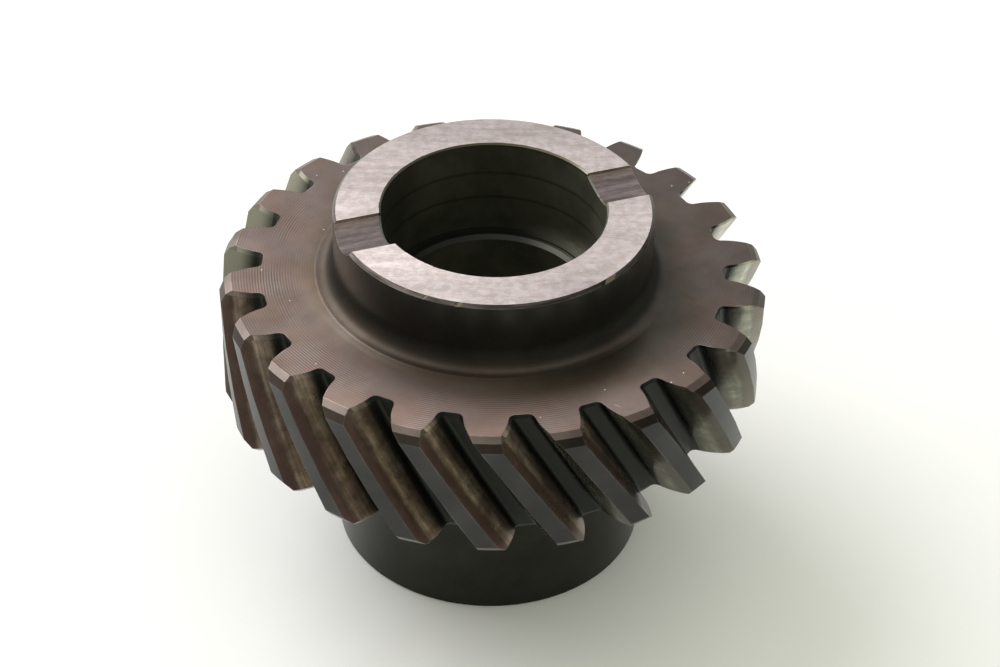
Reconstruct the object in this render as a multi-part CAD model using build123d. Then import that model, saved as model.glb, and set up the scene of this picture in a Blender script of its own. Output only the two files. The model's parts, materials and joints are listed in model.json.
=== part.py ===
from build123d import *
import os
from math import acos, asin, atan, ceil, cos, degrees, pi, radians, sin, sqrt, tan

# A left-hand helical gear with a slotted hub, turned and hobbed from one piece of steel.
# Units are millimetres and degrees. The axis is Z and the origin is the middle of the lower
# end face. The two slots in the upper end face lie along X. The left and right flank of a
# tooth space are those seen from the gear's axis, looking outwards.

# Teeth. The module, which comes to 3, and the pressure angle are in the plane square to the tooth.
tooth_count = 22
tip_diameter = 83.3
pressure_angle = 17.5
helix_angle = 30.0
profile_shift = 0.35  # in modules
addendum = 0.8316  # in modules
dedendum = 1.25  # in modules
root_fillet = 0.3  # in modules
first_tooth_angle = 3.8  # from the X axis to the middle of a tooth, at the rim's upper face
face_width = 21.5

# Two-step bevel that runs round both ends of the teeth
steep_bevel_width = 0.83
steep_bevel_height = 1.2
flat_bevel_width = 1.0
flat_bevel_height = 0.55

# Broken edges of the tooth spaces at the rim's faces, which fade out with the flat bevel
edge_break = 0.22
sharp_edge_break = 0.6  # on the right flank, which meets the lower face at an acute angle

# Hubs
hub_diameter = 48.5
upper_hub_height = 11.0
lower_hub_height = 27.2
hub_fillet_radius = 3.0
upper_hub_chamfer = 0.5
lower_hub_chamfer = 0.3

# Stepped bore
seat_diameter = 34.0
seat_depth = 16.0
seat_chamfer = 0.25
bore_diameter = 29.0
bore_chamfer = 0.6

# Slots across the upper hub
slot_width = 8.1
slot_depth = 2.05
slot_wall_height = 0.55

# Sizes that follow from those above
modules_across_tips = tooth_count / cos(radians(helix_angle)) + 2 * (addendum + profile_shift)
normal_module = tip_diameter / modules_across_tips
pitch_radius = tooth_count * normal_module / cos(radians(helix_angle)) / 2
transverse_angle = atan(tan(radians(pressure_angle)) / cos(radians(helix_angle)))
base_radius = pitch_radius * cos(transverse_angle)
root_radius = pitch_radius - normal_module * (dedendum - profile_shift)
root_fillet_radius = root_fillet * normal_module
tip_radius = tip_diameter / 2
hub_radius = hub_diameter / 2
seat_radius = seat_diameter / 2
bore_radius = bore_diameter / 2
twist_per_mm = tan(radians(helix_angle)) / pitch_radius
rim_bottom = lower_hub_height
rim_top = rim_bottom + face_width
total_height = rim_top + upper_hub_height

# How the shapes are drawn
overrun = 0.5  # how far each cutter runs past the metal
flank_point_count = 4
section_turn = 0.34  # most that the helix turns between two sections, in tooth pitches


def polar(radius, angle):
    """The point at a radius and an angle in radians."""
    return Vector(radius * cos(angle), radius * sin(angle))


def involute(angle):
    """Angle that an involute turns through up to its point of this pressure angle."""
    return tan(angle) - angle


def flank_start(growth):
    """Angle from a tooth space's middle to its involute at the base circle."""
    at_pitch = (pi / 2 - 2 * profile_shift * tan(radians(pressure_angle))) / tooth_count
    return at_pitch - involute(transverse_angle) + growth / base_radius


def flank_angle(radius, growth):
    """Angle from a tooth space's middle to its flank, which is radial inside the base circle."""
    if radius <= base_radius:
        return flank_start(growth)
    return flank_start(growth) + involute(acos(base_radius / radius))


def fillet_contact(flank_growth, root_growth):
    """Radius of the fillet's touch point on the flank, and the angle of the fillet's centre."""
    radius = root_fillet_radius + root_growth
    centre = root_radius + root_fillet_radius
    tangent_squared = centre**2 - base_radius**2
    if tangent_squared > radius**2:
        touch = sqrt(base_radius**2 + (sqrt(tangent_squared) - radius) ** 2)
        return touch, flank_angle(centre, flank_growth - radius)
    return sqrt(centre**2 - radius**2), flank_start(flank_growth) - asin(radius / centre)


def half_space(tip, flank_growth, root_growth):
    """One side of a tooth space: points on its flank, and the touch point on its root circle."""
    touch, centre_angle = fillet_contact(flank_growth, root_growth)
    step = (tip - touch) / (flank_point_count - 1)
    radii = [touch + step * index for index in range(flank_point_count)]
    flank = [polar(radius, flank_angle(radius, flank_growth)) for radius in radii]
    return flank, polar(root_radius - root_growth, centre_angle)


def mirrored(point):
    """The same point on the other side of the tooth space."""
    return Vector(point.X, -point.Y)


def space_edges(tip, left_growth, right_growth, root_growth):
    """Flanks, fillets and root of the tooth space about the X axis."""
    left, left_root = half_space(tip, left_growth, root_growth)
    right, right_root = half_space(tip, right_growth, root_growth)
    right = [mirrored(point) for point in right]
    right_root = mirrored(right_root)
    fillet_radius = root_fillet_radius + root_growth
    return [
        Spline(*left),
        RadiusArc(left_root, left[0], fillet_radius),
        ThreePointArc(right_root, Vector(root_radius - root_growth, 0), left_root),
        RadiusArc(right[0], right_root, fillet_radius),
        Spline(*right),
    ]


def tooth_top(tip, left_growth, right_growth):
    """Arc over the tooth that comes next, anticlockwise from the tooth space about the X axis."""
    start = flank_angle(tip, left_growth)
    end = 2 * pi / tooth_count - flank_angle(tip, right_growth)
    return ThreePointArc(polar(tip, start), polar(tip, (start + end) / 2), polar(tip, end))


def rim_section(height, tip, left_growth=0, right_growth=0, root_growth=0):
    """The toothed outline at a height, with each tooth space grown into the metal."""
    edges = space_edges(tip, left_growth, right_growth, root_growth)
    edges.append(tooth_top(tip, left_growth, right_growth))
    helix_turn = degrees(twist_per_mm * (rim_top - height))
    space_angle = first_tooth_angle + 180 / tooth_count + helix_turn
    turns = [Rot(Z=space_angle + 360 * index / tooth_count) for index in range(tooth_count)]
    outline = make_face([turn * edge for turn in turns for edge in edges])
    return (Pos(Z=height) * outline).face().outer_wire()


def plain_sections():
    """Outlines between the two bevels, close enough together for the helix to look smooth."""
    bevel_height = flat_bevel_height + steep_bevel_height
    length = face_width - 2 * bevel_height
    pitches = twist_per_mm * length * tooth_count / (2 * pi)
    step_count = ceil(pitches / section_turn)
    start = rim_bottom + bevel_height
    return [
        rim_section(start + length * index / step_count, tip_radius) for index in range(step_count + 1)
    ]


def rim():
    """The toothed rim, solid in the middle, with its bevelled tips and broken edges."""
    step_radius = tip_radius - steep_bevel_width
    face_radius = step_radius - flat_bevel_width
    sections = [
        rim_section(rim_bottom, face_radius, edge_break, sharp_edge_break, edge_break),
        rim_section(rim_bottom + flat_bevel_height, step_radius),
        *plain_sections(),
        rim_section(rim_top - flat_bevel_height, step_radius),
        rim_section(rim_top, face_radius, edge_break, edge_break, edge_break),
    ]
    return Solid.make_loft(sections, True)


def upper_hub():
    """The solid upper hub, which flares into the rim at its foot."""
    foot_outer = (hub_radius + hub_fillet_radius, rim_top)
    foot_inner = (hub_radius, rim_top + hub_fillet_radius)
    foot = Spline(foot_outer, foot_inner, tangents=[(-1, 0), (0, 1)])
    side = Polyline(
        foot_inner,
        (hub_radius, total_height - upper_hub_chamfer),
        (hub_radius - upper_hub_chamfer, total_height),
        (0, total_height),
        (0, rim_top),
        foot_outer,
    )
    return revolve(Plane.XZ * make_face([*foot.edges(), *side.edges()]), Axis.Z)


def lower_hub():
    """The solid lower hub, which meets the rim at a square corner."""
    outline = Polyline(
        (0, 0),
        (hub_radius - lower_hub_chamfer, 0),
        (hub_radius, lower_hub_chamfer),
        (hub_radius, rim_bottom),
        (0, rim_bottom),
        close=True,
    )
    return revolve(Plane.XZ * make_face(outline), Axis.Z)


def stepped_bore():
    """The shaft bore and the wider seat above it, with their chamfers."""
    seat_floor = total_height - seat_depth
    outline = Polyline(
        (0, -overrun),
        (bore_radius + bore_chamfer + overrun, -overrun),
        (bore_radius, bore_chamfer),
        (bore_radius, seat_floor - bore_chamfer),
        (bore_radius + bore_chamfer, seat_floor),
        (seat_radius, seat_floor),
        (seat_radius, total_height - seat_chamfer),
        (seat_radius + seat_chamfer + overrun, total_height + overrun),
        (0, total_height + overrun),
        close=True,
    )
    return revolve(Plane.XZ * make_face(outline), Axis.Z)


def slot_cutter():
    """A bar with a rounded underside that mills both slots in one pass across the hub."""
    half_width = slot_width / 2
    wall_foot = total_height - slot_wall_height
    walls = Polyline(
        (-half_width, wall_foot),
        (-half_width, total_height + overrun),
        (half_width, total_height + overrun),
        (half_width, wall_foot),
    )
    underside = ThreePointArc(walls @ 1, (0, total_height - slot_depth), walls @ 0)
    section = make_face([*walls.edges(), *underside.edges()])
    return extrude(Plane.YZ * section, hub_radius + overrun, both=True)


def gear():
    """The finished gear."""
    return rim() + upper_hub() + lower_hub() - stepped_bore() - slot_cutter()


os.makedirs("parts", exist_ok=True)
export_step(gear(), "parts/helical_gear.step")
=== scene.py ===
"""Looks of the helical gear: dark steel with a ground hub face, on a pale studio floor."""

import json
import logging
import math
from dataclasses import dataclass
from enum import Enum
from functools import reduce
from typing import Any, Mapping, Optional, Sequence, Union

import bpy
from mathutils import Matrix, Vector

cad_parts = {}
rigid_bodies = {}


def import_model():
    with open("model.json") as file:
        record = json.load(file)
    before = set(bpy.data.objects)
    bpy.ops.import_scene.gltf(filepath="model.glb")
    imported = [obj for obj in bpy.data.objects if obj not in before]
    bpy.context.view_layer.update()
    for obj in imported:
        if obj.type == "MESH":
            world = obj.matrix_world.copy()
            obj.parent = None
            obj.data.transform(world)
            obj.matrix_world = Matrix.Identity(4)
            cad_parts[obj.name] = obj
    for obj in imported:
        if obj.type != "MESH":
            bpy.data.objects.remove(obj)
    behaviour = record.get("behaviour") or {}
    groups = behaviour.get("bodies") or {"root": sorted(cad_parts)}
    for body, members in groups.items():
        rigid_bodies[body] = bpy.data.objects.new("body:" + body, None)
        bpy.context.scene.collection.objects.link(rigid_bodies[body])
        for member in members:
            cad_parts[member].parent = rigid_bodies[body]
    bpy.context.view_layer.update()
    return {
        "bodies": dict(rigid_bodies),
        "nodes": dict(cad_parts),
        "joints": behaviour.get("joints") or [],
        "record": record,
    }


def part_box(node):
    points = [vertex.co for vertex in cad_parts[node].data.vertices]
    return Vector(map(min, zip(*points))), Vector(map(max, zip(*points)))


LOG = logging.getLogger("helical_gear_scene")
MM = 0.001
PAINTED_LIGHT_AT = 205.0  # direction of the side where light is painted brightest, in degrees round the axis
WHITE = (1.0, 1.0, 1.0)

Colour = tuple[float, float, float]
Socket = bpy.types.NodeSocket
Value = Union[Socket, float, Sequence[float]]
Inputs = Mapping[Union[str, int], Value]
SocketList = tuple[tuple[str, str], ...]


class Graph:
    """Adds nodes to one node tree and links them."""

    def __init__(self, tree: bpy.types.NodeTree) -> None:
        """Takes the shader node tree that the nodes go into."""
        self.tree = tree

    def node(self, kind: str, inputs: Optional[Inputs] = None, **settings: Any) -> bpy.types.Node:
        """Adds one node.

        Args:
            kind: Blender's name of the node type.
            inputs: Values or sockets by input name or index.
            settings: Properties of the node, such as its operation.

        Returns:
            The new node.
        """
        node = self.tree.nodes.new(kind)
        for name, setting in settings.items():
            setattr(node, name, setting)
        for key, value in (inputs or {}).items():
            self.feed(node.inputs[key], value)
        return node

    def feed(self, socket: Socket, value: Value) -> None:
        """Links a socket to an input, or writes a plain value on it.

        Args:
            socket: The input.
            value: The socket or the value that it gets.
        """
        if isinstance(value, Socket):
            self.tree.links.new(value, socket)
        elif isinstance(value, (tuple, list)) and socket.type == "RGBA":
            socket.default_value = (*value, 1.0)
        else:
            socket.default_value = value

    def math(self, operation: str, *values: Value, clamp: bool = False) -> Socket:
        """Returns the result of a Math node."""
        inputs = dict(enumerate(values))
        return self.node("ShaderNodeMath", inputs, operation=operation, use_clamp=clamp).outputs[0]

    def times(self, first: Value, second: Value) -> Socket:
        """Returns the product of two values."""
        return self.math("MULTIPLY", first, second)

    def minus(self, first: Value, second: Value) -> Socket:
        """Returns the first value less the second."""
        return self.math("SUBTRACT", first, second)

    def vector(self, operation: str, *values: Value) -> bpy.types.Node:
        """Returns a Vector Math node."""
        return self.node("ShaderNodeVectorMath", dict(enumerate(values)), operation=operation)

    def ramp(
        self, value: Value, low: Value, high: Value, start: Value = 0.0, end: Value = 1.0
    ) -> Socket:
        """Eases a value from one range to another.

        Args:
            value: The input.
            low: The input's lower limit.
            high: Its upper limit.
            start: The result at and below the lower limit.
            end: The result at and above the upper limit.

        Returns:
            The result.
        """
        inputs = {"Value": value, "From Min": low, "From Max": high, "To Min": start, "To Max": end}
        node = self.node("ShaderNodeMapRange", inputs, interpolation_type="SMOOTHSTEP")
        return node.outputs["Result"]

    def band(self, value: Value, low: float, high: float, soft: float) -> Socket:
        """Makes a band with soft edges.

        Args:
            value: The value that is tested.
            low: The band's lower limit.
            high: Its upper limit.
            soft: Half the width of each soft edge.

        Returns:
            1 between the limits and 0 outside them.
        """
        rise = self.ramp(value, low - soft, low + soft)
        fall = self.ramp(value, high - soft, high + soft, 1.0, 0.0)
        return self.times(rise, fall)

    def mix(self, factor: Value, first: Value, second: Value, blend: str = "MIX") -> Socket:
        """Mixes two colours.

        Args:
            factor: Share of the second colour.
            first: The colour at 0.
            second: The colour at 1.
            blend: Blender's name of the way to mix.

        Returns:
            The mixed colour.
        """
        node = self.node("ShaderNodeMix", data_type="RGBA", blend_type=blend)
        colours = [socket for socket in node.inputs if socket.type == "RGBA"]
        self.feed(node.inputs[0], factor)
        self.feed(colours[0], first)
        self.feed(colours[1], second)
        return next(socket for socket in node.outputs if socket.type == "RGBA")

    def blend(self, factor: Value, first: Value, second: Value) -> Socket:
        """Returns a mix of two values."""
        inputs = {0: factor, 2: first, 3: second}
        return self.node("ShaderNodeMix", inputs, data_type="FLOAT").outputs[0]

    def pick(self, factor: Value, first: Value, second: Value) -> Socket:
        """Returns a mix of two vectors."""
        inputs = {0: factor, 4: first, 5: second}
        return self.node("ShaderNodeMix", inputs, data_type="VECTOR").outputs[1]

    def combine(self, x: Value, y: Value, z: Value) -> Socket:
        """Returns a vector made of three values."""
        return self.node("ShaderNodeCombineXYZ", {0: x, 1: y, 2: z}).outputs[0]

    def noise(
        self, vector: Value, scale: Value, detail: float = 2.0, roughness: float = 0.5
    ) -> Socket:
        """Returns a noise value about 0.5."""
        inputs = {"Vector": vector, "Scale": scale, "Detail": detail, "Roughness": roughness}
        return self.node("ShaderNodeTexNoise", inputs).outputs["Fac"]


def floats(*labels: str) -> SocketList:
    """Lists a group's sockets for plain values, as pairs of name and type."""
    return tuple((label, "NodeSocketFloat") for label in labels)


def vectors(*labels: str) -> SocketList:
    """Lists a group's sockets for vectors, as pairs of name and type."""
    return tuple((label, "NodeSocketVector") for label in labels)


class SharedGroup:
    """Base of the node groups that the gear's material shares.

    A subclass names its group, lists its sockets and builds its inside once.
    """

    name = ""
    takes: SocketList = ()
    gives: SocketList = ()

    def __init__(self) -> None:
        """Makes the group's tree with its sockets and fills it."""
        self.tree = bpy.data.node_groups.new(self.name, "ShaderNodeTree")
        for label, kind in self.takes:
            self.tree.interface.new_socket(label, in_out="INPUT", socket_type=kind)
        for label, kind in self.gives:
            self.tree.interface.new_socket(label, in_out="OUTPUT", socket_type=kind)
        graph = Graph(self.tree)
        entry = graph.node("NodeGroupInput")
        exit_node = graph.node("NodeGroupOutput")
        self.build(graph, entry.outputs, exit_node.inputs)

    def build(self, graph: Graph, takes: Any, gives: Any) -> None:
        """Fills the group.

        Args:
            graph: Adds nodes to the group's tree.
            takes: The group's input sockets, by name.
            gives: The sockets that the results go to, by name.
        """
        raise NotImplementedError

    def use(self, graph: Graph, inputs: Optional[Inputs] = None) -> Any:
        """Adds the group to a graph.

        Args:
            graph: Adds nodes to the tree that uses the group.
            inputs: Values or sockets by the name of the group's input.

        Returns:
            The group's output sockets, by name.
        """
        node = graph.node("ShaderNodeGroup", node_tree=self.tree)
        for label, value in (inputs or {}).items():
            graph.feed(node.inputs[label], value)
        return node.outputs


@dataclass(frozen=True)
class GearShape:
    """Sizes of the gear in millimetres, as the zones of its finish need them."""

    tip_radius: float
    hub_radius: float
    seat_radius: float
    bore_radius: float
    total_height: float
    rim_top: float
    slot_floor: float
    seat_floor: float
    face_width: float = 21.5
    flat_bevel_height: float = 0.55
    slot_width: float = 8.1
    tooth_count: int = 22
    helix_angle: float = 30.0
    normal_module: float = 3.0
    pressure_angle: float = 17.5

    @classmethod
    def from_frame(cls, frame: Mapping[str, Any]) -> "GearShape":
        """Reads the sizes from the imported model.


        Returns:
            The gear's sizes.
        """
        low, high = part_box("helical_gear")
        mounts = {mount["name"]: mount for mount in frame["record"]["mounts"]}
        bore = mounts["shaft_bore"]
        seat = mounts["bearing_seat"]
        return cls(
            tip_radius=(high.x - low.x) / 2 / MM,
            hub_radius=mounts["upper_hub"]["dims"]["r_mm"],
            seat_radius=seat["dims"]["r_mm"],
            bore_radius=bore["dims"]["r_mm"],
            total_height=high.z / MM,
            rim_top=mounts["rim_face"]["pos_m"][2] / MM,
            slot_floor=mounts["drive_slots"]["pos_m"][2] / MM,
            seat_floor=bore["dims"]["length_mm"] + 1.2,
        )

    @property
    def helix(self) -> float:
        """Helix angle in radians."""
        return math.radians(self.helix_angle)

    @property
    def pitch_radius(self) -> float:
        """Radius of the pitch circle."""
        return self.tooth_count * self.normal_module / math.cos(self.helix) / 2

    @property
    def twist_per_mm(self) -> float:
        """Angle in radians that the teeth turn through for each millimetre down."""
        return math.tan(self.helix) / self.pitch_radius

    @property
    def base_radius(self) -> float:
        """Radius of the base circle that the involute flanks unwind from."""
        slope = math.tan(math.radians(self.pressure_angle)) / math.cos(self.helix)
        return self.pitch_radius * math.cos(math.atan(slope))


class PolarFrame(SharedGroup):
    """Cylinder coordinates about the gear's axis in millimetres, and the normal's parts."""

    name = "polar_frame"
    gives = floats("Radius", "Angle", "Height", "Along", "Across", "Out", "Around", "Up")

    def build(self, graph: Graph, takes: Any, gives: Any) -> None:
        """Fills the group.

        Args:
            graph: Adds nodes to the group's tree.
            takes: The group's input sockets, by name.
            gives: The sockets that the results go to, by name.
        """
        source = graph.node("ShaderNodeTexCoord")
        place = graph.node("ShaderNodeSeparateXYZ", {0: source.outputs["Object"]}).outputs
        normal = graph.node("ShaderNodeSeparateXYZ", {0: source.outputs["Normal"]}).outputs
        x, y, z = (graph.math("DIVIDE", place[axis], MM) for axis in range(3))
        radius = graph.math("SQRT", graph.math("MULTIPLY_ADD", x, x, graph.times(y, y)))
        safe = graph.math("MAXIMUM", radius, 0.001)
        cosine = graph.math("DIVIDE", x, safe)
        sine = graph.math("DIVIDE", y, safe)
        out = graph.math("MULTIPLY_ADD", normal[0], cosine, graph.times(normal[1], sine))
        crossed = graph.times(normal[0], sine)
        around = graph.minus(graph.times(normal[1], cosine), crossed)
        results = {
            "Radius": radius,
            "Angle": graph.math("ARCTAN2", y, x),
            "Height": z,
            "Along": x,
            "Across": y,
            "Out": out,
            "Around": around,
            "Up": normal[2],
        }
        for label, socket in results.items():
            graph.feed(gives[label], socket)


class GearGroup(SharedGroup):
    """Base of the groups that know the gear's sizes."""

    def __init__(self, shape: GearShape, polar: PolarFrame) -> None:
        """Makes the group.

        Args:
            shape: The gear's sizes.
            polar: The group that gives cylinder coordinates.
        """
        self.shape = shape
        self.polar = polar
        super().__init__()


class ToothNormal(GearGroup):
    """Exact normals of the involute flanks and of the round tooth tops."""

    name = "tooth_normal"
    gives = vectors("Flank", "Land")

    def build(self, graph: Graph, takes: Any, gives: Any) -> None:
        """Fills the group.

        Args:
            graph: Adds nodes to the group's tree.
            takes: The group's input sockets, by name.
            gives: The sockets that the results go to, by name.
        """
        base_lead = math.atan(self.shape.base_radius * self.shape.twist_per_mm)
        here = self.polar.use(graph)
        cosine = graph.math("COSINE", here["Angle"])
        sine = graph.math("SINE", here["Angle"])
        base_share = graph.math("DIVIDE", self.shape.base_radius, here["Radius"])
        tangential = graph.math("MINIMUM", base_share, 1.0)
        radial = graph.math("SQRT", graph.minus(1.0, graph.times(tangential, tangential)))
        on_right = graph.math("GREATER_THAN", here["Around"], 0.0)
        side = graph.math("MULTIPLY_ADD", on_right, 2.0, -1.0)
        radial = graph.times(radial, math.cos(base_lead))
        tangential = graph.times(graph.times(tangential, side), math.cos(base_lead))
        upward = graph.times(side, math.sin(base_lead))
        x = graph.minus(graph.times(radial, cosine), graph.times(tangential, sine))
        y = graph.math("MULTIPLY_ADD", radial, sine, graph.times(tangential, cosine))
        normals = {"Flank": graph.combine(x, y, upward), "Land": graph.combine(cosine, sine, 0.0)}
        settings = {"vector_type": "NORMAL", "convert_from": "OBJECT", "convert_to": "WORLD"}
        for label, normal in normals.items():
            node = graph.node("ShaderNodeVectorTransform", {"Vector": normal}, **settings)
            graph.feed(gives[label], node.outputs[0])


class Zone(Enum):
    """Stretches of the gear's surface with a finish of their own."""

    RING = "Ring"
    HUB_CHAMFER = "Hub chamfer"
    SLOT = "Slot"
    UPPER_HUB = "Upper hub"
    RIM_FACE = "Rim face"
    TIP_BEVEL = "Tip bevel"
    STEEP_BEVEL = "Steep bevel"
    LAND = "Land"
    TRUE_FLANK = "True flank"
    RIGHT_FLANK = "Right flank"
    LEFT_FLANK = "Left flank"
    FLANK_END = "Flank end"
    FLANK_BURR = "Flank burr"
    ROOT = "Root"
    LOWER_HUB = "Lower hub"
    BORE = "Bore"
    SEAT_FLOOR = "Seat floor"


class ZoneMasks(GearGroup):
    """Masks, 1 inside and 0 outside, for each zone of the gear's surface."""

    name = "zone_masks"
    gives = floats(*(zone.value for zone in Zone))
    tolerance = 0.02  # how far a face may lie from its height, in millimetres
    least_turn = 0.2  # how far a flank's normal turns to its side at least
    # Radii in millimetres, from the solid core of the rim out to the tooth tops
    core_end = 33.0
    root_end = 36.6
    flank_end_start = 37.0
    tip_bevel_start = 39.5
    steep_bevel_start = 40.5
    land_start = 41.2

    def build(self, graph: Graph, takes: Any, gives: Any) -> None:
        """Fills the group.

        Args:
            graph: Adds nodes to the group's tree.
            takes: The group's input sockets, by name.
            gives: The sockets that the results go to, by name.
        """
        shape = self.shape
        here = self.polar.use(graph)
        radius, height, out = here["Radius"], here["Height"], here["Out"]
        around, up = here["Around"], here["Up"]
        rim_top = shape.rim_top
        rim_bottom = rim_top - shape.face_width

        def above(value: Value, limit: float) -> Socket:
            """Returns 1 where a value is above a limit."""
            return graph.math("GREATER_THAN", value, limit)

        def below(value: Value, limit: float) -> Socket:
            """Returns 1 where a value is below a limit."""
            return graph.math("LESS_THAN", value, limit)

        def within(value: Value, low: float, high: float) -> Socket:
            """Returns 1 where a value is between two limits."""
            return graph.times(above(value, low), below(value, high))

        def every(*masks: Socket) -> Socket:
            """Returns 1 where all the masks are 1."""
            return reduce(graph.times, masks)

        top = shape.total_height
        bevel = shape.flat_bevel_height
        near = self.tolerance
        in_rim = every(
            within(height, rim_bottom - near, rim_top - near), above(radius, self.core_end)
        )
        flank = every(in_rim, below(out, 0.85))
        right_flank = every(flank, above(around, self.least_turn))
        left_flank = every(flank, below(around, -self.least_turn))
        masks = {
            Zone.RING: every(above(height, top - 0.05), above(up, 0.9)),
            Zone.HUB_CHAMFER: every(
                above(height, top - 0.55),
                within(up, 0.3, 0.95),
                above(radius, shape.hub_radius - 0.55),
            ),
            Zone.SLOT: every(
                within(height, shape.slot_floor - 0.1, top - 0.05),
                below(graph.math("ABSOLUTE", here["Across"]), shape.slot_width / 2 + 0.03),
                within(radius, shape.seat_radius + 0.05, shape.hub_radius - 0.05),
            ),
            Zone.UPPER_HUB: every(
                above(height, rim_top + near), above(radius, shape.hub_radius - 0.6)
            ),
            Zone.RIM_FACE: every(within(height, rim_top - near, rim_top + near), above(up, 0.5)),
            Zone.TIP_BEVEL: every(
                in_rim,
                above(radius, self.tip_bevel_start),
                above(height, rim_top - bevel - 0.05),
                above(up, 0.45),
            ),
            Zone.STEEP_BEVEL: every(
                in_rim,
                above(radius, self.steep_bevel_start),
                above(out, 0.6),
                within(up, 0.3, 0.8),
            ),
            Zone.TRUE_FLANK: every(
                flank,
                above(graph.math("ABSOLUTE", around), self.least_turn),
                above(radius, shape.base_radius + 1.1),
                within(height, rim_bottom + bevel + 0.01, rim_top - bevel - 0.01),
            ),
            Zone.LAND: every(in_rim, above(radius, self.land_start), above(out, 0.93)),
            Zone.RIGHT_FLANK: right_flank,
            Zone.LEFT_FLANK: left_flank,
            Zone.FLANK_END: every(
                right_flank,
                within(height, rim_bottom + 0.01, rim_bottom + bevel - 0.01),
                above(radius, self.flank_end_start),
            ),
            Zone.FLANK_BURR: every(left_flank, below(height, rim_bottom + 0.16)),
            Zone.ROOT: every(in_rim, below(radius, self.root_end)),
            Zone.LOWER_HUB: below(height, rim_bottom - 0.01),
            Zone.BORE: every(below(radius, shape.seat_radius + 0.3), below(out, 0.0)),
            Zone.SEAT_FLOOR: every(above(up, 0.5), below(radius, shape.seat_radius - near)),
        }
        for zone, mask in masks.items():
            graph.feed(gives[zone.value], mask)


@dataclass
class Coat:
    """What one finish gives the shader.

    Args:
        colour: Colour of the light that the metal throws back.
        roughness: Roughness of the surface.
        relief: Height of the finest marks, in millimetres.
    """

    colour: Value
    roughness: Value
    relief: Value = 0.0


def layered(graph: Graph, mask: Socket, under: Coat, over: Coat) -> Coat:
    """Lays one coat over another.

    Args:
        graph: Adds nodes to the material.
        mask: 1 where the upper coat shows and 0 elsewhere.
        under: The lower coat.
        over: The upper coat.

    Returns:
        The two as one coat.
    """
    return Coat(
        graph.mix(mask, under.colour, over.colour),
        graph.blend(mask, under.roughness, over.roughness),
        graph.blend(mask, under.relief, over.relief),
    )


class LinearBrushing(SharedGroup):
    """Straight grinding or milling lines, as noise that is stretched along them."""

    name = "linear_brushing"
    takes = floats("Along", "Across", "Height")
    gives = floats("Fine", "Broad")

    def build(self, graph: Graph, takes: Any, gives: Any) -> None:
        """Fills the group.

        Args:
            graph: Adds nodes to the group's tree.
            takes: The group's input sockets, by name.
            gives: The sockets that the results go to, by name.
        """
        fine_place = graph.combine(
            graph.times(takes["Along"], 0.7), graph.times(takes["Across"], 6.5), takes["Height"]
        )
        broad_place = graph.combine(
            graph.times(takes["Along"], 0.08), graph.times(takes["Across"], 0.8), takes["Height"]
        )
        graph.feed(gives["Fine"], graph.noise(fine_place, 1.0, 2.0, 0.7))
        graph.feed(gives["Broad"], graph.noise(broad_place, 1.0, 1.0, 0.6))


class TurnedRings(SharedGroup):
    """Evenly spaced tool marks of a lathe, whose depth changes from place to place."""

    name = "turned_rings"
    takes = (*floats("Distance", "Spacing"), *vectors("Place"))
    gives = floats("Groove", "Strength", "Relief")

    def build(self, graph: Graph, takes: Any, gives: Any) -> None:
        """Fills the group.

        Args:
            graph: Adds nodes to the group's tree.
            takes: The group's input sockets, by name.
            gives: The sockets that the results go to, by name.
        """
        wobble = graph.noise(takes["Place"], 0.12, 1.0)
        turns = graph.math("DIVIDE", takes["Distance"], takes["Spacing"])
        phase = graph.times(graph.math("ADD", turns, wobble), 2 * math.pi)
        wave = graph.math("MULTIPLY_ADD", graph.math("SINE", phase), 0.5, 0.5)
        plain_wave = graph.math("SINE", graph.times(turns, 2 * math.pi))
        groove_place = graph.combine(graph.times(takes["Distance"], 1.7), wobble, 0.0)
        groove_depth = graph.noise(groove_place, 1.0, 1.0, 0.6)
        patch_depth = graph.noise(takes["Place"], 0.09, 1.0, 0.6)
        strength = graph.times(groove_depth, graph.ramp(patch_depth, 0.35, 0.65, 0.3, 1.6))
        graph.feed(gives["Groove"], wave)
        graph.feed(gives["Strength"], strength)
        graph.feed(gives["Relief"], plain_wave)


class Stains(SharedGroup):
    """Blotches of oil and oxide, and a few tiny bright specks."""

    name = "stains"
    takes = (*vectors("Place"), *floats("Scale"))
    gives = floats("Blotch", "Tint", "Speck", "Scratch")

    def build(self, graph: Graph, takes: Any, gives: Any) -> None:
        """Fills the group.

        Args:
            graph: Adds nodes to the group's tree.
            takes: The group's input sockets, by name.
            gives: The sockets that the results go to, by name.
        """
        place, scale = takes["Place"], takes["Scale"]
        shifted = graph.vector("ADD", place, (31.0, 17.0, 5.0)).outputs[0]
        cells = graph.node("ShaderNodeTexVoronoi", {"Vector": place, "Scale": 0.7})
        chosen = graph.math("GREATER_THAN", cells.outputs["Color"], 0.74)
        near = graph.ramp(cells.outputs["Distance"], 0.05, 0.1, 1.0, 0.0)
        turn = {"Vector": place, "Angle": 0.9}
        turned = graph.node("ShaderNodeVectorRotate", turn, rotation_type="Z_AXIS").outputs[0]
        stretched = graph.vector("MULTIPLY", turned, (0.06, 0.5, 0.3)).outputs[0]
        strokes = graph.node("ShaderNodeTexVoronoi", {"Vector": stretched, "Scale": 1.0})
        stroke_chosen = graph.math("GREATER_THAN", strokes.outputs["Color"], 0.86)
        stroke = graph.ramp(strokes.outputs["Distance"], 0.02, 0.06, 0.4, 0.0)
        graph.feed(gives["Scratch"], graph.times(stroke_chosen, stroke))
        graph.feed(gives["Blotch"], graph.noise(place, scale, 3.0, 0.6))
        graph.feed(gives["Tint"], graph.noise(shifted, scale, 1.0, 0.55))
        graph.feed(gives["Speck"], graph.times(chosen, near))


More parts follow.
